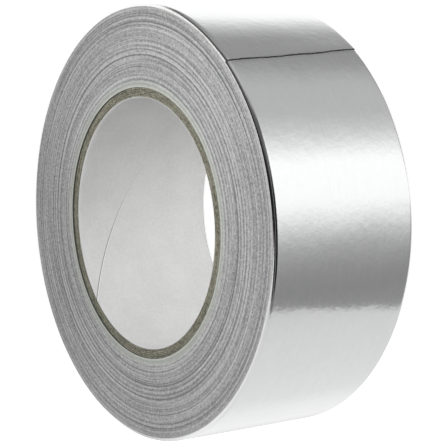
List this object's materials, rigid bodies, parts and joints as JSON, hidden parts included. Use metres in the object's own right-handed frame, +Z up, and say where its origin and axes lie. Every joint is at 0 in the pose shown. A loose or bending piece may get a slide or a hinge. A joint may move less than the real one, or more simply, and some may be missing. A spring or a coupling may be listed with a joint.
{
  "type": "foil tape roll",
  "caption": "Thick roll of shiny metal foil tape with a release liner, wound on a board core, with a free end that lifts and parts from its liner.",
  "frame": {"origin": "bottom of the roll, under the middle of its axis, where it stands on its rim", "axes": "+Z up, Y along the roll's axis, with the end face that the tape end is seen from at -Y; +X towards the side where the free end comes down"},
  "size_m": [0.1323, 0.05, 0.1323],
  "materials": {
    "foil": "bright rolled foil, mirror-like, with fine rolling lines",
    "adhesive": "tacky clear acrylic coat",
    "liner": "smooth siliconised paper",
    "wound_edges": "slit edges of foil and paper turns, satin grey with darker and lighter lines",
    "core_paper": "smooth white paper",
    "core_board": "fibrous olive-grey recycled board"
  },
  "bodies": {
    "roll": {"core_liner_ply": "core_paper", "core_board_ply_1": "core_board", "core_board_ply_2": "core_board", "core_board_ply_3": "core_board", "core_board_ply_4": "core_board", "core_board_ply_5": "core_board", "wound_tape": "wound_edges", "liner_last_turn": "liner", "adhesive_last_turn": "adhesive", "foil_last_turn": "foil"},
    "tape_end": {"foil_end_tab": "foil", "adhesive_end_tab": "adhesive"},
    "liner_end": {"liner_end_tab": "liner"}
  },
  "joints": [
    {"name": "tape_end_lift", "type": "hinge", "parent": "roll", "child": "tape_end", "pos_m": [0.02047, 0, 0.12911], "axis": [0, -1, 0], "range_deg": [0, 110]},
    {"name": "liner_end_peel", "type": "hinge", "parent": "roll", "child": "liner_end", "pos_m": [0.02044, 0, 0.12903], "axis": [0, -1, 0], "range_deg": [0, 50]}
  ],
  "couplings": [
    {"joint": "liner_end_peel", "follows": "tape_end_lift", "ratio": 0.45}
  ]
}
